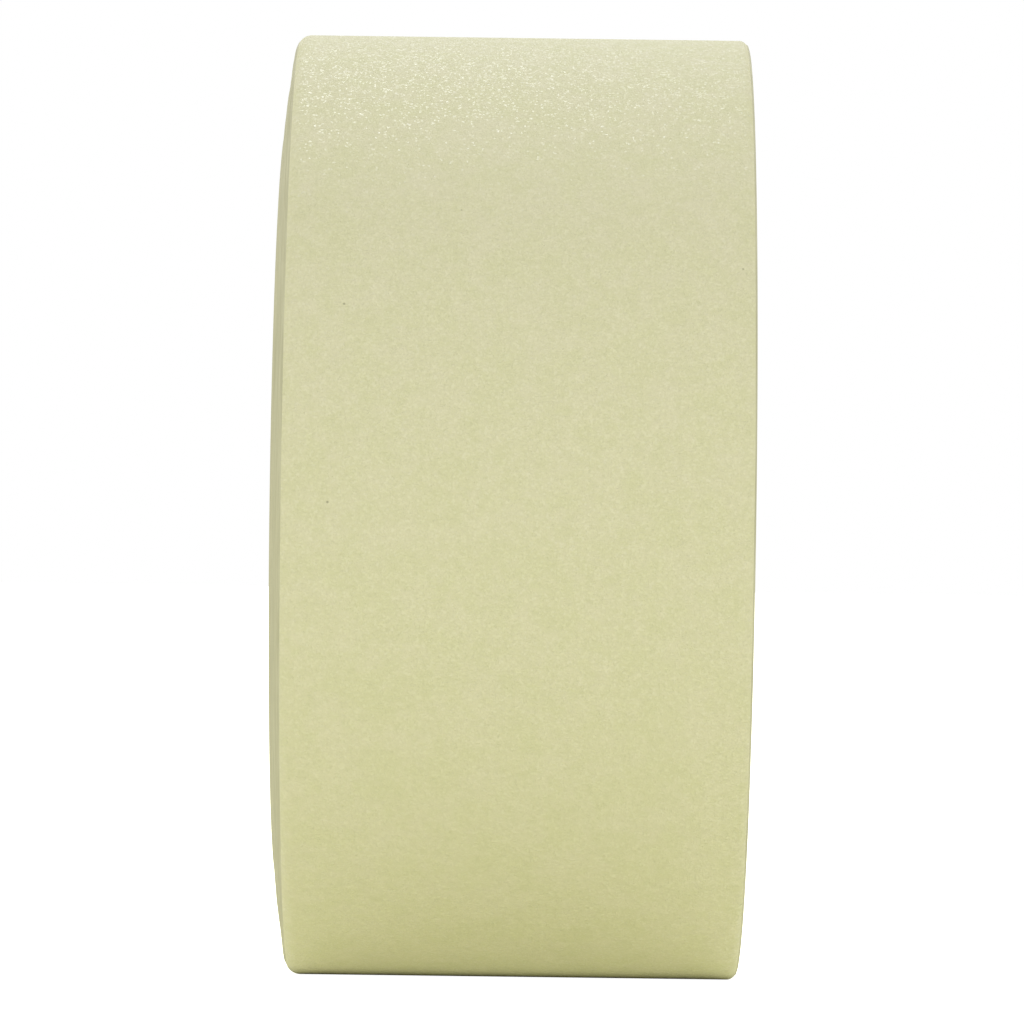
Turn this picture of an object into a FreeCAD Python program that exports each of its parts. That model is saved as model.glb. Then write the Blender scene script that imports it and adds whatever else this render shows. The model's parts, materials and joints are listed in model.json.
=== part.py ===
"""A roll of tape standing on its tread: paperboard core, wound strip and the outer end that peels.

Millimetres. The origin is on the roll's axle line, halfway across the outermost turn. The axle line
is X, Z is up, and the outer end of the strip lies on the back of the roll, towards +Y.
"""
import FreeCAD, Part
import math
import os

# Strip of tape
TAPE_WIDTH = 50.0
TAPE_THICKNESS = 0.125
ROLL_RADIUS = 52.3

# Core of six paper strips, from the bore outwards
BORE_RADIUS = 38.1
PLY_THICKNESS = {
    "core_inner_liner": 0.4,
    "core_board_ply_1": 0.45,
    "core_board_ply_2": 0.45,
    "core_board_ply_3": 0.45,
    "core_board_ply_4": 0.45,
    "core_outer_liner": 0.3,
}
STRIP_WINDING_ANGLE = 25.0  # degrees between a core strip and the round of the tube
SEAM_GAP = 0.3  # butt gap between the two edges of one core strip
SEAM_STEP = 140.0  # degrees from one strip's seam to the next strip's

# The turns creep sideways: the inner ones stand out on the left and are sunk on the right
CREEP_AT_CORE = 1.2
CREEP_HALFWAY = 0.52  # share of that creep reached halfway from the rim to the core
LEFT_CORNER = 1.6
RIGHT_CORNER = 1.0
CORNER_ANGLES = (0, 45, 90)  # degrees, where a corner's round starts, its middle and its end

# Outer end of the strip, a chain of short lengths
PEEL_ANGLE = 5.0  # where the strip starts to lift, above the horizontal at the back
LINK_COUNT = 12
LINK_ANGLE = 5.5  # degrees of the roll that one link covers
STUCK_GAP = 0.02  # clearance between the outer end and the turn under it

ORIGIN = FreeCAD.Vector(0, 0, 0)
AXLE = FreeCAD.Vector(1, 0, 0)

CORE_RADIUS = BORE_RADIUS + sum(PLY_THICKNESS.values())
HALF_WIDTH = TAPE_WIDTH / 2
# A wound strip is a spiral. Two half circles half a thickness apart make one turn of it, and they
# leave a step of one thickness where the turn ends.
SPIRAL_SHIFT = TAPE_THICKNESS / 2
UPPER_CENTRE = FreeCAD.Vector(0, -SPIRAL_SHIFT, 0)


def at(x, radius, side=1):
    """A point in the plane through the axle line, on the +Y side or, with side=-1, the -Y side."""
    return FreeCAD.Vector(x, side * radius, 0)


def line(start, end):
    return Part.LineSegment(start, end).toShape()


def arc(start, middle, end):
    return Part.Arc(start, middle, end).toShape()


def on_corner(sign, corner, size, angle):
    """A point on a circle round the centre of the left (-1) or right (+1) rounded corner.

    The angle runs from straight out of the tread, 0, to straight out of the side, 90.
    """
    turn = math.radians(angle)
    x = sign * (HALF_WIDTH - corner + size * math.sin(turn))
    return x, ROLL_RADIUS - corner + size * math.cos(turn)


def wound_profile():
    """The section of the wound turns, drawn on the -Y side with its tread at the roll's radius."""
    inside = BORE_RADIUS  # cut back to the core afterwards
    middle = (ROLL_RADIUS + CORE_RADIUS) / 2
    halfway = CREEP_AT_CORE * CREEP_HALFWAY
    left_edge = -HALF_WIDTH - CREEP_AT_CORE
    right_edge = HALF_WIDTH - CREEP_AT_CORE
    left_round = [at(*on_corner(-1, LEFT_CORNER, LEFT_CORNER, a), -1) for a in CORNER_ANGLES]
    right_round = [at(*on_corner(1, RIGHT_CORNER, RIGHT_CORNER, a), -1) for a in CORNER_ANGLES]
    edges = [
        line(left_round[0], right_round[0]),
        arc(*right_round),
        arc(right_round[2], at(HALF_WIDTH - halfway, middle, -1), at(right_edge, CORE_RADIUS, -1)),
        line(at(right_edge, CORE_RADIUS, -1), at(right_edge, inside, -1)),
        line(at(right_edge, inside, -1), at(left_edge, inside, -1)),
        line(at(left_edge, inside, -1), at(left_edge, CORE_RADIUS, -1)),
        arc(at(left_edge, CORE_RADIUS, -1), at(-HALF_WIDTH - halfway, middle, -1), left_round[2]),
        arc(*reversed(left_round)),
    ]
    return Part.Face(Part.Wire(edges))


def wound_tape():
    """All the turns that stay stuck: a spiral outside, the round of the core inside."""
    profile = wound_profile()
    lower = profile.revolve(ORIGIN, AXLE, 180)
    upper = profile.revolve(UPPER_CENTRE, AXLE, -180)
    core_space = Part.makeCylinder(
        CORE_RADIUS, 2 * TAPE_WIDTH, FreeCAD.Vector(-TAPE_WIDTH, 0, 0), AXLE
    )
    return lower.fuse(upper).cut(core_space)


def strip_profile():
    """The section of one thickness of tape, with its edges pressed down over the roll's corners."""
    outside = []
    inside = []
    for sign, corner in ((-1, LEFT_CORNER), (1, RIGHT_CORNER)):
        # a strip edge wraps the corner by as much width as the corner takes off the tread
        wrap = math.degrees(corner / (corner + TAPE_THICKNESS / 2))
        for points, height in ((outside, TAPE_THICKNESS), (inside, STUCK_GAP)):
            for angle in (0, wrap / 2, wrap):
                x, radius = on_corner(sign, corner, corner + height, angle)
                points.append(at(x, radius - TAPE_THICKNESS))
    edges = [
        arc(*outside[2::-1]),
        line(outside[0], outside[3]),
        arc(*outside[3:]),
        line(outside[5], inside[5]),
        arc(*inside[:2:-1]),
        line(inside[3], inside[0]),
        arc(*inside[:3]),
        line(inside[2], outside[2]),
    ]
    return Part.Face(Part.Wire(edges))


def tail_link(number):
    """One short length of the strip's outer end, counted from where it starts to lift."""
    profile = strip_profile()
    profile.rotate(UPPER_CENTRE, AXLE, LINK_ANGLE * (number - 1))
    return profile.revolve(UPPER_CENTRE, AXLE, LINK_ANGLE)


def core_strip(inner_radius, thickness, seam_angle):
    """One paper strip of the core: a tube slit along a helix, where the strip's edges meet."""
    start = -HALF_WIDTH - CREEP_AT_CORE
    foot = FreeCAD.Vector(start, 0, 0)
    outer = Part.makeCylinder(inner_radius + thickness, TAPE_WIDTH, foot, AXLE)
    tube = outer.cut(Part.makeCylinder(inner_radius, TAPE_WIDTH, foot, AXLE))
    lead = 2 * math.pi * inner_radius * math.tan(math.radians(STRIP_WINDING_ANGLE))
    overrun = 2.0  # the cutter passes both ends of the tube
    helix = Part.makeHelix(lead, TAPE_WIDTH + 2 * overrun, inner_radius + thickness / 2)
    gap_along_axle = SEAM_GAP / math.cos(math.radians(STRIP_WINDING_ANGLE))
    near = inner_radius - thickness
    far = inner_radius + 2 * thickness
    low = -gap_along_axle / 2
    high = gap_along_axle / 2
    corners = [
        FreeCAD.Vector(near, 0, low),
        FreeCAD.Vector(far, 0, low),
        FreeCAD.Vector(far, 0, high),
        FreeCAD.Vector(near, 0, high),
    ]
    section = Part.makePolygon(corners + corners[:1])
    slot = Part.Wire(helix.Edges).makePipeShell([section], True, True)
    slot.translate(FreeCAD.Vector(0, 0, start - overrun))
    slot.rotate(ORIGIN, FreeCAD.Vector(0, 1, 0), 90)
    slot.rotate(ORIGIN, AXLE, seam_angle)
    return tube.cut(slot)


def save(name, shape):
    solid = shape.Solids[0]
    if len(shape.Solids) != 1 or not solid.isValid():
        raise ValueError(f"{name} is not one sound solid")
    solid.exportStep(f"parts/{name}.step")
    print(f"{name}: {solid.Volume:.1f} mm3")


os.makedirs("parts", exist_ok=True)

radius = BORE_RADIUS
for count, (name, thickness) in enumerate(PLY_THICKNESS.items()):
    save(name, core_strip(radius, thickness, SEAM_STEP * count))
    radius += thickness

turned = wound_tape()
turned.rotate(ORIGIN, AXLE, PEEL_ANGLE)
save("wound_tape", turned)

for number in range(1, LINK_COUNT + 1):
    link = tail_link(number)
    link.rotate(ORIGIN, AXLE, PEEL_ANGLE)
    save(f"tape_tail_{number}", link)
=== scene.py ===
# %% [markdown]
# # A roll of tape standing on its tread
#
# A tape roll is one long strip wound on a paperboard tube. Nothing on it is hidden under a cover:
# what the eye reads is the fine grain of the tread, the edges of some ninety turns on the two
# sides, and the layers of the tube. So each of these is built here as it is made: a spiral of
# turns, strips of board wound on a helix, and a loose outer end. The frame gives the places and
# the main sizes.

import json
import math

import bpy
import numpy as np
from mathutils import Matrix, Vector


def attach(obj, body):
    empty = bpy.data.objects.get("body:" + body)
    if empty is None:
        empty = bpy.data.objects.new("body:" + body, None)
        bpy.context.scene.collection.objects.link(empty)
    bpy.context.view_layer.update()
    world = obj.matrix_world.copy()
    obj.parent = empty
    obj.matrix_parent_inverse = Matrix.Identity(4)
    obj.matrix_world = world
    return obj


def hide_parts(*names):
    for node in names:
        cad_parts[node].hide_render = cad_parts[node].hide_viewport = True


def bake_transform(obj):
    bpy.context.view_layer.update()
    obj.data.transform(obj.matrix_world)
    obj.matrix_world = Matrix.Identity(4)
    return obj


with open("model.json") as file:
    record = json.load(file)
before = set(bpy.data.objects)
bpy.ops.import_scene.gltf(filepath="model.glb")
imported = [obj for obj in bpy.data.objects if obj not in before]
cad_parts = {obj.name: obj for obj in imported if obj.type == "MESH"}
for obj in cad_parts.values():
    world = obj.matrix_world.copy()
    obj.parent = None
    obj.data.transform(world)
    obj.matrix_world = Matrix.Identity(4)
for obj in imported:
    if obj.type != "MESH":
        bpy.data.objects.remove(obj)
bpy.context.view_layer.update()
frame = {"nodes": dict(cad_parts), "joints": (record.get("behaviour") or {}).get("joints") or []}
joints = {joint["name"]: joint for joint in frame["joints"]}
print("joints:", len(joints), "nodes:", len(frame["nodes"]))

# %% [markdown]
# ## Sizes
#
# The first hinge of the outer end lies on the strip's outer face, where the strip starts to lift,
# so it gives the roll's radius and the angle of that line. The strips of the core give their own
# radii. All of these could be typed in instead, but a size that is read can't disagree with the
# solids. What the frame doesn't state, such as how thick one turn is, is a named number.

# %% Sizes read from the frame
MM = 0.001
TAPE_THICKNESS = 0.125 * MM
LINK_ANGLE = math.radians(5.5)  # how far round the roll one length of the outer end reaches


def ring(node):
    """The inner radius, outer radius, left end and right end of a ring round the X axis."""
    points = np.array([vertex.co for vertex in frame["nodes"][node].data.vertices])
    radii = np.hypot(points[:, 1], points[:, 2])
    return radii.min(), radii.max(), points[:, 0].min(), points[:, 0].max()


_, peel_y, peel_z = joints["tail_peel"]["pos_m"]
ROLL_RADIUS = math.hypot(peel_y, peel_z)
PEEL_ANGLE = math.atan2(peel_z, peel_y)
_, CORE_RADIUS, CORE_LEFT, CORE_RIGHT = ring("core_outer_liner")
HALF_WIDTH = (CORE_RIGHT - CORE_LEFT) / 2
CREEP = HALF_WIDTH - CORE_RIGHT  # how far the inner turns stand to the left of the outer ones
LINKS = len(joints)
print(f"roll radius {ROLL_RADIUS / MM:.2f} mm, core radius {CORE_RADIUS / MM:.2f} mm")
print(f"strip {2 * HALF_WIDTH / MM:.1f} mm wide, creep {CREEP / MM:.2f} mm, {LINKS} links")

# %% [markdown]
# ## Shader maths as expressions
#
# A procedural finish is made of sums and products of noise. Its nodes could be added and linked
# one by one, but then a short formula fills a page. Written with a small wrapper round a socket,
# it reads as a formula, and each operator adds its own node.


# %% The socket wrapper
class Wire:
    """One output socket that can be used in arithmetic, or a bare node tree to start from."""

    def __init__(self, tree, socket=None):
        self.tree = tree
        self.socket = socket

    def node(self, kind, settings, sockets, output=0):
        """Adds a node: its settings are set first, then the values or links of its sockets."""
        made = self.tree.nodes.new(kind)
        for name, value in settings.items():
            setattr(made, name, value)
        for name, value in sockets.items():
            if isinstance(value, Wire):
                self.tree.links.new(value.socket, made.inputs[name])
            else:
                made.inputs[name].default_value = value
        return Wire(self.tree, made.outputs[output] if len(made.outputs) else None)

    def join(self, operation, a, b):
        """Joins two values with a Math node, or colours and vectors with a Vector Math node."""
        if self.socket.type == "VALUE":
            return self.node("ShaderNodeMath", {"operation": operation}, {0: a, 1: b})
        a, b = [(side,) * 3 if isinstance(side, (int, float)) else side for side in (a, b)]
        return self.node("ShaderNodeVectorMath", {"operation": operation}, {0: a, 1: b})

    def __add__(self, other):
        return self.join("ADD", self, other)

    __radd__ = __add__

    def __sub__(self, other):
        return self.join("SUBTRACT", self, other)

    def __rsub__(self, other):
        return self.join("SUBTRACT", other, self)

    def __mul__(self, other):
        return self.join("MULTIPLY", self, other)

    __rmul__ = __mul__

    def between(self, low, high):
        """0 below low, 1 above high, and smooth from one to the other."""
        settings = {"interpolation_type": "SMOOTHSTEP"}
        return self.node("ShaderNodeMapRange", settings, {0: self, 1: low, 2: high})

    def mix(self, a, b):
        """Colour a where this mask is 0, colour b where it is 1."""
        return self.node("ShaderNodeMix", {"data_type": "RGBA"}, {0: self, 6: a, 7: b}, 2)

    def part(self, index):
        """One number out of this vector or colour."""
        return self.node("ShaderNodeSeparateXYZ", {}, {0: self}, index)

    def length(self):
        """How long this vector is."""
        return self.node("ShaderNodeVectorMath", {"operation": "LENGTH"}, {0: self}, "Value")

    def noise(self, scale, detail=2.0, roughness=0.5):
        """Noise over this vector, with so many waves a metre."""
        sockets = {"Vector": self, "Scale": scale, "Detail": detail, "Roughness": roughness}
        return self.node("ShaderNodeTexNoise", {}, sockets)

    def cells(self, scale, output):
        """Random cells over this vector: the "Distance" to a cell's middle or its "Color"."""
        return self.node("ShaderNodeTexVoronoi", {}, {"Vector": self, "Scale": scale}, output)

    def bump(self, strength, distance):
        """A normal from this relief, which is so many metres high where it is 1."""
        sockets = {"Strength": strength, "Distance": distance, "Height": self}
        return self.node("ShaderNodeBump", {}, sockets)


def rgb(red, green, blue):
    """An opaque colour."""
    return red, green, blue, 1.0


def new_tree(owner):
    """Empties the node tree of a new material or world."""
    owner.use_nodes = True
    owner.node_tree.nodes.clear()
    return Wire(owner.node_tree)


print("operators:", [name for name in vars(Wire) if name.endswith("__") and name != "__init__"])

# %% [markdown]
# ## Camera
#
# The roll is seen square on. A short lens close by would round its outline, so a long lens is used
# from some fifteen radii away, which keeps it almost flat. The camera leans a little, so the roll
# does not stand quite upright in the picture.

# %% Camera
CAMERA_DISTANCE = 15.45 * ROLL_RADIUS
LENS = 254.6  # millimetres, in front of a sensor 36 mm wide
CAMERA_LEAN = math.radians(-0.75)
LOOK_AT = Vector((-0.00052, 0, -0.00055))  # metres, close to the middle of the roll

camera_data = bpy.data.cameras.new("camera")
camera_data.lens = LENS
camera_data.clip_end = 30
camera = bpy.data.objects.new("camera", camera_data)
camera.location = LOOK_AT + Vector((0, -CAMERA_DISTANCE, 0))
camera.rotation_euler = (math.pi / 2, CAMERA_LEAN, 0)
bpy.context.scene.collection.objects.link(camera)
bpy.context.scene.camera = camera
bpy.context.scene.view_settings.view_transform = "Standard"
print(f"the camera sees {CAMERA_DISTANCE * 36 / LENS / MM:.0f} mm across at the roll")

# %% [markdown]
# ## White tent
#
# The roll stands in a tent of white cloth, lit from outside. The cloth could be modelled with
# lamps behind it, but a world that gives light from every side does the same with less noise. Seen
# by the camera it is burnt out to plain white. As a light it is dimmer from straight above and
# from the two sides, which shades the roll's round, and slightly yellow low down, where a tent
# throws back what the roll and its table send it.


# %% World
def light_tent():
    """The world: white to the camera, and a light that varies with its direction."""
    world = bpy.data.worlds.new("light_tent")
    start = new_tree(world)
    direction = start.node("ShaderNodeTexCoord", {}, {}, "Generated")
    sideways = direction.part(0)
    up = direction.part(2)
    strength = 1.235 - 0.35 * up - 0.32 * (sideways * sideways)
    tint = up.between(-0.9, 0.3).mix(rgb(1.0, 1.0, 0.80), rgb(1.0, 1.0, 1.0))
    light = start.node("ShaderNodeBackground", {}, {"Color": tint * strength, "Strength": 1.0})
    seen = start.node("ShaderNodeBackground", {}, {"Color": rgb(1, 1, 1), "Strength": 1.0})
    camera_ray = start.node("ShaderNodeLightPath", {}, {}, "Is Camera Ray")
    both = start.node("ShaderNodeMixShader", {}, {0: camera_ray, 1: light, 2: seen})
    start.node("ShaderNodeOutputWorld", {}, {"Surface": both})
    bpy.context.scene.world = world
    return world


print("world:", light_tent().name)

# %% [markdown]
# ## Floor and lamp
#
# The roll stands on a white sweep that is burnt out too, with only a breath of shadow where they
# touch. A plain white floor under a bright light would show that, but it would also throw too much
# light up on the roll. So the floor is a dimmer paper with a faint light of its own, and to the
# camera alone it adds plain white. Its own light is left out close to the line of contact, which
# keeps the lowest part of the roll dark. It is strongest a little further out and lower from there
# on. One soft lamp above and behind the roll gives the cool gleam along its top.


# %% Floor
FLOOR_HALF = 4.0  # metres, far wider than any view
GLOW_STARTS, GLOW_FULL = 0.005, 0.014  # metres from the line of contact, where it rises
GLOW_FADES, GLOW_LOW = 0.008, 0.05  # and where it falls to its lower level


def sweep_paper():
    """Matt paper with a faint glow, to which a camera ray adds plain white."""
    material = bpy.data.materials.new("white_sweep")
    start = new_tree(material)
    place = start.node("ShaderNodeTexCoord", {}, {}, "Object")
    colour = place.noise(700, 3).mix(rgb(0.80, 0.80, 0.64), rgb(0.84, 0.84, 0.68))
    matt = start.node("ShaderNodeBsdfDiffuse", {}, {"Color": colour})
    distance = (place * (0.0, 1.0, 0.0)).length()
    near = distance.between(GLOW_STARTS, GLOW_FULL)
    far = distance.between(GLOW_FADES, GLOW_LOW)
    glow = (near * (0.30 - 0.11 * far)).mix(rgb(0, 0, 0), rgb(0.98, 1.0, 0.82))
    glow = start.node("ShaderNodeEmission", {}, {"Color": glow, "Strength": 1.0})
    paper = start.node("ShaderNodeAddShader", {}, {0: matt, 1: glow})
    burnt = start.node("ShaderNodeEmission", {}, {"Color": rgb(1, 1, 1), "Strength": 1.0})
    seen = start.node("ShaderNodeAddShader", {}, {0: paper, 1: burnt})
    camera_ray = start.node("ShaderNodeLightPath", {}, {}, "Is Camera Ray")
    both = start.node("ShaderNodeMixShader", {}, {0: camera_ray, 1: paper, 2: seen})
    start.node("ShaderNodeOutputMaterial", {}, {"Surface": both})
    return material


def sweep():
    """A plain pale floor at the lowest line of the roll."""
    half, low = FLOOR_HALF, -ROLL_RADIUS
    corners = [(-half, -half, low), (half, -half, low), (half, half, low), (-half, half, low)]
    mesh = bpy.data.meshes.new("floor")
    mesh.from_pydata(corners, [], [(0, 1, 2, 3)])
    floor = bpy.data.objects.new("floor", mesh)
    bpy.context.scene.collection.objects.link(floor)
    mesh.materials.append(sweep_paper())
    return floor


print("floor:", sweep().name)


# %% Lamp
def soft_box(name, place, size, power, colour):
    """A rectangle of light that looks at the roll; metres and watts."""
    data = bpy.data.lights.new(name, "AREA")
    data.shape = "RECTANGLE"
    data.size, data.size_y = size
    data.energy = power
    data.color = colour
    light = bpy.data.objects.new(name, data)
    light.location = place
    light.rotation_euler = (-Vector(place)).to_track_quat("-Z", "Y").to_euler()
    bpy.context.scene.collection.objects.link(light)
    return light


overhead = soft_box(
    "overhead", place=(0.0, 0.62, 0.84), size=(0.36, 0.2), power=2.1, colour=(0.90, 0.95, 1.0)
)
print(f"lamp: {overhead.name}, {overhead.location.length:.2f} m from the roll")

# %% [markdown]
# ## The shape of the strip on the roll
#
# The strip climbs by its own thickness in each turn. The frame draws that as two half circles, one
# about the axle line and one about a line half a thickness in front of it. The edges of the strip
# are pressed down over the roll's rounded corners. The faces of the solids could be copied, but
# they have too few points for a close view. These helpers give any point of that surface from its
# place across the strip, its depth and its angle, which is 0 where the outer end starts to lift.

# %% Strip geometry
LEFT_CORNER = 1.6 * MM
RIGHT_CORNER = 1.0 * MM
SHIFT = TAPE_THICKNESS / 2
TURN = 2 * math.pi
TREAD_STEPS = 24
CORNER_POINTS = 7


def corner_wrap(corner):
    """How far round a corner the strip's edge reaches, in radians."""
    return corner / (corner + SHIFT)


def across_strip():
    """Places across the strip: (-1 or 1, angle round that corner), or (0, x) on the tread."""
    left = [(-1, a) for a in np.linspace(corner_wrap(LEFT_CORNER), 0, CORNER_POINTS)]
    right = [(1, a) for a in np.linspace(0, corner_wrap(RIGHT_CORNER), CORNER_POINTS)]
    start = -HALF_WIDTH + LEFT_CORNER
    end = HALF_WIDTH - RIGHT_CORNER
    middle = [(0, x) for x in np.linspace(start, end, TREAD_STEPS + 1)[1:-1]]
    return left + middle + right


def section_point(place, inset):
    """The x of a place at some depth inside, and its drop below the roll's outer radius."""
    side, value = place
    if side == 0:
        return value, inset
    corner = LEFT_CORNER if side < 0 else RIGHT_CORNER
    size = corner - inset
    x = side * (HALF_WIDTH - corner + size * math.sin(value))
    return x, corner - size * math.cos(value)


def surface_radius(angle):
    """The roll's own radius where the strip has come to this angle, from 0 to one full turn."""
    if angle < math.pi:
        return ROLL_RADIUS - SHIFT * (1 + math.cos(angle))
    return ROLL_RADIUS


def on_roll(x, radius, angle):
    """The point at this angle from the line where the outer end starts to lift."""
    turned = angle + PEEL_ANGLE
    return x, radius * math.cos(turned), radius * math.sin(turned)


PLACES = across_strip()
print(f"{len(PLACES)} places across the strip, radius {surface_radius(0) / MM:.3f} mm at the step")

# %% [markdown]
# ## From points to a piece
#
# Each piece below is worked out point by point, because its exact place on the roll matters more
# than a quick shape would. Blender gets a list of points and a list of faces. Smooth shading with
# sharp edges above an angle keeps the rounds round and the cut edges crisp. Each point also keeps
# its place across and along the strip, so a finish can follow the strip when it bends.

# %% Mesh helpers
SHARP_ABOVE = math.radians(40)


def mesh_piece(name, vertices, faces):
    """A smooth-shaded mesh whose steep edges stay sharp."""
    mesh = bpy.data.meshes.new(name)
    mesh.from_pydata(vertices, [], faces)
    mesh.validate()
    mesh.update()
    mesh.shade_smooth()
    mesh.set_sharp_from_angle(angle=SHARP_ABOVE)
    piece = bpy.data.objects.new(name, mesh)
    bpy.context.scene.collection.objects.link(piece)
    return piece


def store_strip_coordinates(piece, values):
    """Keeps each vertex's place across and along the strip, which the finishes are drawn on."""
    attribute = piece.data.attributes.new("strip", "FLOAT_VECTOR", "POINT")
    attribute.data.foreach_set("vector", np.array(values, dtype=np.float32).ravel())


print(f"edges stay sharp above {math.degrees(SHARP_ABOVE):.0f} degrees")

# %% [markdown]
# ## The wound turns
#
# Seen from the side, the roll is a spiral of strip edges. They could be drawn by a bump on a flat
# ring, but that has no depth from close by, so every turn is modelled. The strip wanders by a few
# hundredths of a millimetre as it is wound, so each turn's edge stands a little prouder or deeper
# than the next, and the same wander shows on both sides.

# %% Wander of the strip
TURNS = 93
KNOTS_PER_TURN = 4
SPARE_KNOTS = 9
WANDER = 0.012  # millimetres, typical for one knot
DRIFT_KNOTS = 61  # a wander slower than this is taken out, since a guide holds the strip

random = np.random.default_rng(50)
knot_count = KNOTS_PER_TURN * TURNS + SPARE_KNOTS
wander_knots = np.cumsum(random.normal(0, WANDER, knot_count)) * MM
wander_knots -= np.convolve(wander_knots, np.ones(DRIFT_KNOTS) / DRIFT_KNOTS, "same")
wander_knots += random.normal(0, WANDER, knot_count) * MM


def wander(turn_count):
    """How far the strip lies to the right after so many turns from the core."""
    return float(np.interp(turn_count * KNOTS_PER_TURN, np.arange(knot_count), wander_knots))


print(f"wander from {wander_knots.min() / MM:.3f} to {wander_knots.max() / MM:.3f} mm")

# %% [markdown]
# ## The two sides
#
# As a roll is stored, its inner turns creep sideways, so one side bulges and the other is dished.
# A straight cone would be simpler, but the real creep is steepest near the core, so each side
# follows a bow that runs on round the corner. Each turn gets a point on its edge and one in the
# groove before it, at even steps along that path.

# %% Side paths
CREEP_HALFWAY = 0.52  # share of the creep reached halfway from the rim to the core
BOW_POINTS = 60
ROUND_POINTS = 16
GROOVE_DEPTH = 0.016 * MM


def side_path(side, corner):
    """Points from the core out to where the outermost strip's edge lies, as x and radius."""
    shoulder = ROLL_RADIUS - corner
    middle = (ROLL_RADIUS + CORE_RADIUS) / 2
    bow = np.polyfit([CORE_RADIUS, middle, shoulder], [CREEP, CREEP_HALFWAY * CREEP, 0], 2)
    radii = np.linspace(CORE_RADIUS, shoulder, BOW_POINTS)
    x = side * HALF_WIDTH - np.polyval(bow, radii)
    turn = np.linspace(math.pi / 2, corner_wrap(corner), ROUND_POINTS)[1:]
    x = np.append(x, side * (HALF_WIDTH - corner + corner * np.sin(turn)))
    radii = np.append(radii, shoulder + corner * np.cos(turn))
    length = np.append(0, np.cumsum(np.hypot(np.diff(x), np.diff(radii))))
    return length / length[-1], x, radii


SIDE_PATHS = {-1: side_path(-1, LEFT_CORNER), 1: side_path(1, RIGHT_CORNER)}


def side_points(side, angle, turns):
    """One row of a side, as x and radius: each turn's groove and edge, from the core outwards."""
    share, path_x, path_radius = SIDE_PATHS[side]
    row = []
    for index in range(turns):
        turn_count = index + angle / TURN
        groove = turn_count / (TURNS + 1) if index else 0.0
        edge = (turn_count + 0.5) / (TURNS + 1)
        between = 0.5 * (wander(turn_count - 1) + wander(turn_count))
        points = ((groove, GROOVE_DEPTH, between), (edge, 0.0, wander(turn_count)))
        for place, sink, shift in points:
            x = np.interp(place, share, path_x) - side * sink + shift
            row.append((x, np.interp(place, share, path_radius)))
    return row


print("points in one row of a side:", len(side_points(1, 0, TURNS)))

# %% [markdown]
# ## The block of turns
#
# Ninety-three separate rings would leave gaps and steps where each should run into the next. So
# the block is one mesh: a row of points round its section, repeated round the roll. After one full
# turn each edge runs on as the next one out, so the last row joins the first one with every edge
# moved on by one turn. The outermost turn stops half a link before the line where the strip lifts,
# because the first piece of the outer end begins there.

# %% Rows and faces of the block
TREAD, EDGES = 0, 1  # the material numbers


class TurnBlock:
    """The points and faces of the wound turns, as they are added row by row."""

    def __init__(self):
        self.vertices, self.strip, self.faces, self.materials = [], [], [], []

    def point(self, x, radius, angle, along, depth):
        """Adds a point with its strip coordinates and returns its number."""
        self.vertices.append(on_roll(x, radius, angle))
        self.strip.append((x, along, depth))
        return len(self.vertices) - 1

    def side(self, side, angle, turns):
        """Adds one side's points of a row and returns their numbers."""
        return [
            self.point(x, radius, angle, ROLL_RADIUS * angle, radius)
            for x, radius in side_points(side, angle, turns)
        ]

    def tread(self, angle, lowered=False):
        """Adds the tread's points of a row; lowered, they lie on the turn below the outermost."""
        depth = ROLL_RADIUS - surface_radius(angle) + (TAPE_THICKNESS if lowered else 0)
        along = ROLL_RADIUS * (angle - TURN if lowered else angle)
        numbers = []
        for place in PLACES:
            x, drop = section_point(place, depth)
            numbers.append(self.point(x, ROLL_RADIUS - drop, angle, along, ROLL_RADIUS))
        return numbers

    def row(self, angle, turns, lowered=False):
        """Adds one row and returns its numbers: left side, tread, right side."""
        left = self.side(-1, angle, turns)
        right = self.side(1, angle, turns)
        return left, self.tread(angle, lowered), right

    def face(self, *corners):
        """Adds one face of the strip's slit edges or of its cut end."""
        self.faces.append(corners)
        self.materials.append(EDGES)

    def skin(self, a, b, closed=True):
        """Adds the faces between two rows of the same length; closed, also those on the core."""
        loop_a = a[0] + a[1] + a[2][::-1]
        loop_b = b[0] + b[1] + b[2][::-1]
        tread_from, tread_to = len(a[0]), len(a[0]) + len(a[1]) - 1
        for k in range(len(loop_a) if closed else len(loop_a) - 1):
            n = (k + 1) % len(loop_a)
            self.faces.append((loop_a[k], loop_b[k], loop_b[n], loop_a[n]))
            self.materials.append(TREAD if tread_from <= k < tread_to else EDGES)


print("points in one row:", 4 * TURNS + len(PLACES))

# %% Build the wound turns
FULL_ROWS = 357  # rows round the roll that have all the turns
SHORT_STEPS = 4  # steps over the last half link, where the outermost turn is missing


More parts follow.
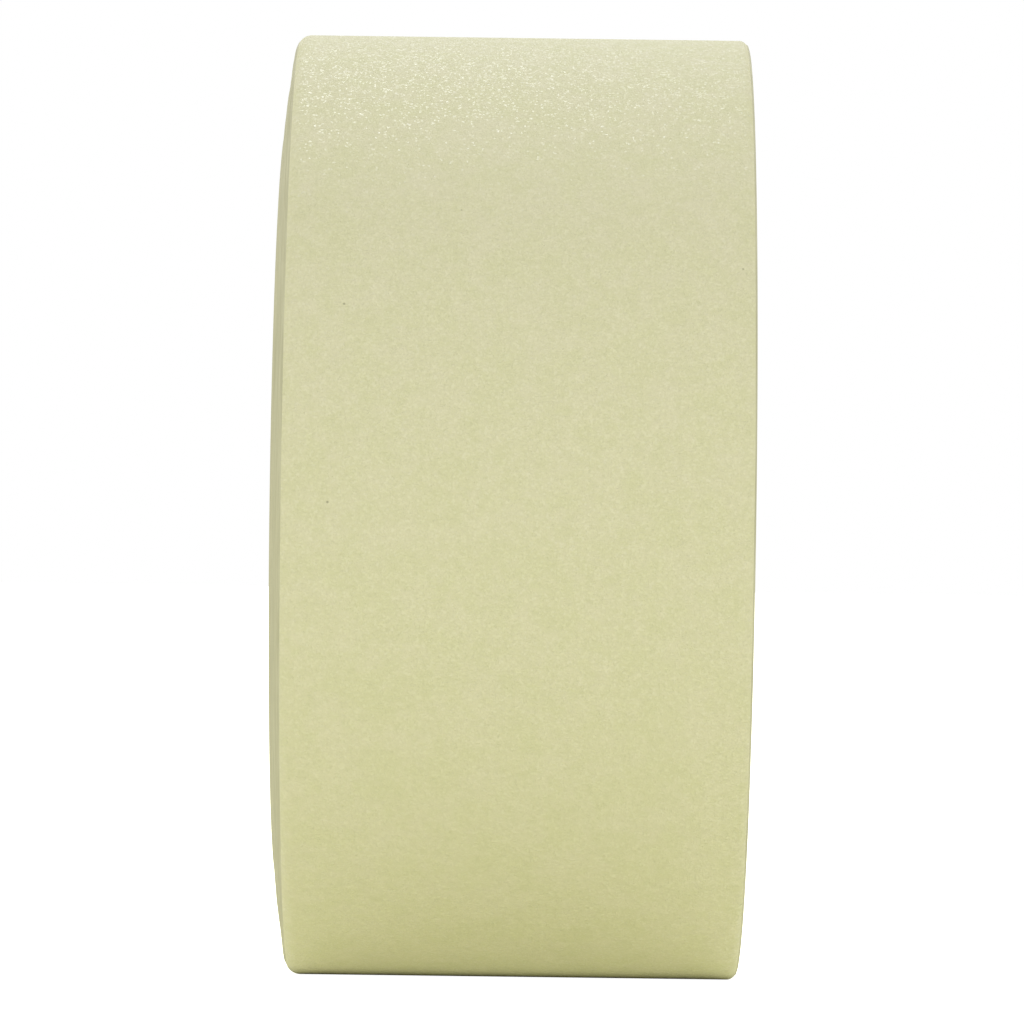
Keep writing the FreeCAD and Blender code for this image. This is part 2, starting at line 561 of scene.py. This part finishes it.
def wound_turns():
    """The whole block: full rows, the cut end of the outermost turn, and rows without it."""
    block = TurnBlock()
    cut = TURN - LINK_ANGLE / 2
    full = [block.row(angle, TURNS) for angle in np.linspace(0, cut, FULL_ROWS)]
    for a, b in zip(full, full[1:]):
        block.skin(a, b)
    # the outermost turn's cut end, down to the turn below it
    left, tread, right = full[-1]
    under = block.tread(cut, lowered=True)
    keep = 2 * (TURNS - 1)
    for k in range(len(PLACES) - 1):
        block.face(tread[k], under[k], under[k + 1], tread[k + 1])
    block.face(left[keep - 1], under[0], tread[0], left[keep + 1], left[keep])
    block.face(right[keep - 1], right[keep], right[keep + 1], tread[-1], under[-1])
    short = [(left[:keep], under, right[:keep])]
    for angle in np.linspace(cut, TURN, SHORT_STEPS + 1)[1:-1]:
        short.append(block.row(angle, TURNS - 1, lowered=True))
        block.skin(*short[-2:])
    # every edge runs on as the next one out; the innermost turn lies on the core
    (left, tread, right), (left_on, tread_on, right_on) = short[-1], full[0]
    ahead = (left_on[3:], tread_on, right_on[3:])
    block.skin((left[1:], tread, right[1:]), ahead, closed=False)
    block.face(left[0], *left_on[:4], left[1])
    block.face(right[0], right[1], *right_on[3::-1])
    block.face(left[0], right[0], right_on[0], left_on[0])
    piece = mesh_piece("wound_turns", block.vertices, block.faces)
    piece.data.polygons.foreach_set("material_index", block.materials)
    store_strip_coordinates(piece, block.strip)
    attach(piece, "root")
    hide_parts("wound_tape")
    return piece


wound = wound_turns()
print(f"wound turns: {len(wound.data.vertices)} points, {TURNS} turns")

# %% [markdown]
# ## The outer end
#
# The outer end is the same strip, lying loose on the turn below it. It bends where it is peeled.
# It is made of short lengths that each reach from the middle of one link to the middle of the
# next, with the hinge halfway.

# %% Points of the outer end
STUCK_GAP = 0.02 * MM  # between the outer end and the turn under it
KNIFE_WAVE = 0.12 * MM  # how far the cut at the free end strays from straight


def tail_surface(angle):
    """Centre y and radius of the outer face, before the turn by the peel angle."""
    if angle < 0:
        return 0.0, ROLL_RADIUS
    return -SHIFT, ROLL_RADIUS + SHIFT


def tail_point(x, drop, angle):
    """A point of the outer end, so far below its outer face."""
    centre, radius = tail_surface(angle)
    y = centre + (radius - drop) * math.cos(angle)
    z = (radius - drop) * math.sin(angle)
    turn_y = y * math.cos(PEEL_ANGLE) - z * math.sin(PEEL_ANGLE)
    turn_z = y * math.sin(PEEL_ANGLE) + z * math.cos(PEEL_ANGLE)
    return x, turn_y, turn_z


def knife_lean(x):
    """The angle by which the cut at the free end leans forward at this x."""
    return KNIFE_WAVE * math.sin(x / HALF_WIDTH * 2.1 + 0.4) / ROLL_RADIUS


print(f"the cut strays by {KNIFE_WAVE / MM:.2f} mm at most")


# %% Build the outer end
def tail_piece(number, start, end):
    """One length of the outer end, over the hinge with this number."""
    rows = 9 if number < LINKS else 13  # the last one reaches to the free end
    count = len(PLACES)
    vertices, strip, faces = [], [], []
    for row, angle in enumerate(np.linspace(start, end, rows)):
        at_knife = number == LINKS and row == rows - 1
        for inset in (0.0, TAPE_THICKNESS - STUCK_GAP):
            for place in PLACES:
                x, drop = section_point(place, inset)
                lean = knife_lean(x) if at_knife else 0.0
                vertices.append(tail_point(x, drop, angle + lean))
                strip.append((x, ROLL_RADIUS * (TURN + angle + lean), inset))
    for row in range(rows - 1):
        a = 2 * count * row
        loop = list(range(a, a + count)) + list(range(a + 2 * count - 1, a + count - 1, -1))
        ahead = [index + 2 * count for index in loop]
        for k in range(2 * count):
            n = (k + 1) % (2 * count)
            faces.append((loop[k], ahead[k], ahead[n], loop[n]))
    top = 2 * count * (rows - 1)
    for k in range(count - 1):
        faces.append((k, k + 1, count + k + 1, count + k))
        faces.append((top + k + 1, top + k, top + count + k, top + count + k + 1))
    piece = mesh_piece(f"tape_end_{number}", vertices, faces)
    store_strip_coordinates(piece, strip)
    tail_point(0, 0, LINK_ANGLE * (number - 1.5))
    tail_point(0, 0, LINK_ANGLE * (number - 0.5))
    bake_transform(piece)
    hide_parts(f"tape_tail_{number}")
    return piece


outer_end = []
for number in range(1, LINKS + 1):
    stop = LINK_ANGLE * (number - 0.5 if number < LINKS else number)
    outer_end.append(tail_piece(number, LINK_ANGLE * (number - 1.5), stop))
print("outer end:", len(outer_end), "pieces")

# %% [markdown]
# ## The core
#
# A paperboard tube is wound on a helix from strips of paper, each with its two edges butted, and
# cut to length with a knife. One plain tube would do from afar, but in the bore and at the two cut
# ends the plies show as fine rings with a slight burr. So each strip is its own curled sheet, in
# the place and with the seam that its solid has.

# %% Build the core strips
CORE_STRIPS = [
    "core_inner_liner",
    "core_board_ply_1",
    "core_board_ply_2",
    "core_board_ply_3",
    "core_board_ply_4",
    "core_outer_liner",
]
STRIP_WINDING_ANGLE = math.radians(25)
SEAM_GAP = 0.3 * MM
SEAM_STEP = math.radians(140)
CUTTER_OVERRUN = 2.0 * MM  # the solids' helix starts so far before the left end
BURR = 0.018  # millimetres, typical for one point of a cut end
ROUND_STEPS = 180
LENGTH_STEPS = 40


def cut_burr():
    """How far each point round lies inside a clean cut, for both ends and both faces."""
    burr = random.normal(0, BURR, (2, 2, ROUND_STEPS + 1)) * MM
    return np.abs(burr + np.roll(burr, 1, 2) + np.roll(burr, 2, 2)) / 2


def core_strip(node, count):
    """One strip of the core, the one with this count from the bore outwards."""
    inner, outer, left, right = ring(node)
    lead = TURN * inner * math.tan(STRIP_WINDING_ANGLE)
    half_gap = SEAM_GAP / 2 / math.sin(STRIP_WINDING_ANGLE) / inner
    rounds = np.linspace(half_gap, TURN - half_gap, ROUND_STEPS + 1)
    burr = cut_burr()
    pull = {0: burr[0], LENGTH_STEPS: -burr[1]}  # inwards, so nothing passes the solid's ends
    level = np.zeros_like(burr[0])
    width = rounds.size
    vertices, strip, faces = [], [], []
    for row, x in enumerate(np.linspace(left, right, LENGTH_STEPS + 1)):
        seam = TURN * (x - left + CUTTER_OVERRUN) / lead - math.pi / 2 + SEAM_STEP * count
        for radius, shifts in zip((inner, outer), pull.get(row, level)):
            for turn, shift in zip(rounds, shifts):
                angle = seam + turn
                vertices.append((x + shift, radius * math.cos(angle), radius * math.sin(angle)))
                strip.append((x, radius * angle, radius))
    for row in range(LENGTH_STEPS):
        a = 2 * width * row
        loop = list(range(a, a + width)) + list(range(a + 2 * width - 1, a + width - 1, -1))
        ahead = [index + 2 * width for index in loop]
        for k in range(2 * width):
            n = (k + 1) % (2 * width)
            faces.append((loop[k], loop[n], ahead[n], ahead[k]))
    top = 2 * width * LENGTH_STEPS
    for k in range(width - 1):
        faces.append((k + 1, k, width + k, width + k + 1))
        faces.append((top + k, top + k + 1, top + width + k + 1, top + width + k))
    piece = mesh_piece(node.replace("core_", "core_strip_"), vertices, faces)
    store_strip_coordinates(piece, strip)
    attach(piece, "root")
    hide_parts(node)
    return piece


core = {node: core_strip(node, count) for count, node in enumerate(CORE_STRIPS)}
print("core strips:", len(core))

# %% [markdown]
# ## The finish of the tape
#
# The strip has a matt coat with a faint grain. Its pale greenish yellow is not even: soft patches
# a few millimetres wide lean to green or to a warm beige, and very fine streaks run along the
# strip. Tiny flat specks of the coat lie at their own angles and catch the light from above as
# glints, through small cells with a tilted normal. The same cells are also painted a little paler,
# a painted glint that shows from every side, and a few other cells are painted darker as painted
# shade of small pits. All of this is drawn on the strip's own coordinates, so it stays in place
# when the end is peeled.


# %% Tape colour
def tape_colour(strip, mottle, grain, flake, glint_flake_on):
    """Patches and a fine tone, with painted glints on flakes, painted pit shade and dark specks.
    """
    patches = strip.noise(170, 3, 0.6)
    clouds = strip.noise(620)
    streak = (strip * (1.0, 0.13, 1.0)).noise(2600)
    yellow = rgb(0.644, 0.630, 0.396)
    pale = rgb(0.655, 0.628, 0.428)
    colour = (0.45 * patches + 0.35 * clouds + 0.2 * mottle).between(0.36, 0.64).mix(yellow, pale)
    tone = 0.925 + 0.05 * patches + 0.07 * clouds + 0.10 * mottle + 0.08 * grain + 0.03 * streak
    # Painted glint: the flake cells are painted a little paler, a bright dot that shows from every
    # side.
    colour = (0.09 * glint_flake_on).mix(colour * tone, rgb(0.86, 0.85, 0.66))
    # Painted shade: other cells are painted darker, standing in for the shade in small pits of the
    # coat.
    pit_shade_on = flake.part(1).between(0.90, 0.92)
    colour = (0.06 * pit_shade_on).mix(colour, rgb(0.40, 0.39, 0.24))
    spot = strip.cells(420, "Color").part(1).between(0.97, 0.98)
    speck = spot * (1.0 - strip.cells(420, "Distance").between(0.03, 0.075))
    return (0.6 * speck).mix(colour, rgb(0.22, 0.21, 0.12))


# %% Tape face
def principled(start, sockets):
    """Ends a material with the shader that has these sockets."""
    shader = start.node("ShaderNodeBsdfPrincipled", {}, sockets)
    start.node("ShaderNodeOutputMaterial", {}, {"Surface": shader})


def tape_face():
    """The coated outer face of the strip, with a tilted glint on one cell in five."""
    material = bpy.data.materials.new("tape_face")
    start = new_tree(material)
    strip = start.node("ShaderNodeAttribute", {"attribute_name": "strip"}, {}, "Vector")
    mottle = strip.noise(2000)
    grain = strip.noise(5200, 2, 0.7)
    flake = strip.cells(5600, "Color")
    glint_flake_on = flake.part(0).between(0.80, 0.84)
    facing = start.node("ShaderNodeNewGeometry", {}, {}, "Normal")
    tilted = {0: facing + (flake - 0.5) * 0.46}
    glint = start.node("ShaderNodeVectorMath", {"operation": "NORMALIZE"}, tilted)
    mixed = {0: glint_flake_on, 4: (grain + 1.2 * mottle).bump(1.0, 0.00013), 5: glint}
    sockets = {
        "Base Color": tape_colour(strip, mottle, grain, flake, glint_flake_on),
        "Roughness": 0.66 - 0.33 * glint_flake_on + 0.08 * grain,
        "Specular IOR Level": 0.5,
        "Normal": start.node("ShaderNodeMix", {"data_type": "VECTOR"}, mixed, 1),
    }
    principled(start, sockets)
    return material


face = tape_face()
wound.data.materials.append(face)
for piece in outer_end:
    piece.data.materials.append(face)
print("tape face:", len(face.node_tree.nodes), "nodes")

# %% [markdown]
# ## The slit edges
#
# On the sides of the roll only the strip's slit edges show: paler rings of backing with a darker
# line of adhesive between them. The modelled grooves already part the turns. One flat colour over
# them would look like turned plastic, so the tone changes from ring to ring with a noise that is
# stretched along the turns, and a little dust and fibre lies over that.


# %% Tape edges
def tape_edges():
    """The sides of the turns, in rings that are alike along a turn and differ across them."""
    material = bpy.data.materials.new("tape_edges")
    start = new_tree(material)
    place = start.node("ShaderNodeTexCoord", {}, {}, "Object")
    in_round = place * (0.0, 1.0, 1.0)
    stretched = {0: 60.0 * in_round.length(), 1: in_round.part(1), 2: in_round.part(2)}
    ring_tone = start.node("ShaderNodeCombineXYZ", {}, stretched).noise(130, 3, 0.6)
    dust = place.noise(90)
    fibre = place.noise(6000)
    colour = ring_tone.between(0.3, 0.7).mix(rgb(0.47, 0.45, 0.29), rgb(0.60, 0.58, 0.40))
    sockets = {
        "Base Color": colour * (0.90 + 0.12 * dust + 0.08 * fibre),
        "Roughness": 0.6 + 0.1 * fibre,
        "Specular IOR Level": 0.4,
        "Normal": (ring_tone + 0.5 * fibre).bump(0.4, 0.00005),
    }
    principled(start, sockets)
    return material


edges = tape_edges()
wound.data.materials.append(edges)
print("tape edges:", len(edges.node_tree.nodes), "nodes")

# %% [markdown]
# ## The papers of the core
#
# The liners are thin smooth paper, pale and a little warm. The board between them is made of waste
# paper, grey-brown and rougher. A scan of paper would give the fibres, but it repeats and ties the
# piece to a file, so they are noise, drawn out slightly round the tube, with soft clouds under it.


# %% Core papers
def core_paper(name, dark, light, fibre_scale, rough):
    """A matt paper between two colours, with fibres of so many waves a metre."""
    material = bpy.data.materials.new(name)
    start = new_tree(material)
    place = start.node("ShaderNodeTexCoord", {}, {}, "Object")
    fibres = (place * (1.0, 0.6, 0.6)).noise(fibre_scale, 4, 0.65)
    clouds = place.noise(160)
    sockets = {
        "Base Color": (0.65 * fibres + 0.35 * clouds).between(0.3, 0.7).mix(dark, light),
        "Roughness": rough + 0.1 * fibres,
        "Specular IOR Level": 0.3,
        "Normal": fibres.bump(0.5, 0.00006),
    }
    principled(start, sockets)
    return material


board = core_paper("grey_brown_board", rgb(0.33, 0.25, 0.18), rgb(0.47, 0.38, 0.28), 3400, 0.8)
liners = {
    "core_inner_liner": core_paper(
        "inner_liner_paper", rgb(0.60, 0.54, 0.44), rgb(0.74, 0.68, 0.57), 2600, 0.65
    ),
    "core_outer_liner": core_paper(
        "outer_liner_paper", rgb(0.58, 0.52, 0.42), rgb(0.70, 0.64, 0.53), 2600, 0.7
    ),
}
for node, piece in core.items():
    piece.data.materials.append(liners.get(node, board))
print("materials:", [material.name for material in bpy.data.materials])
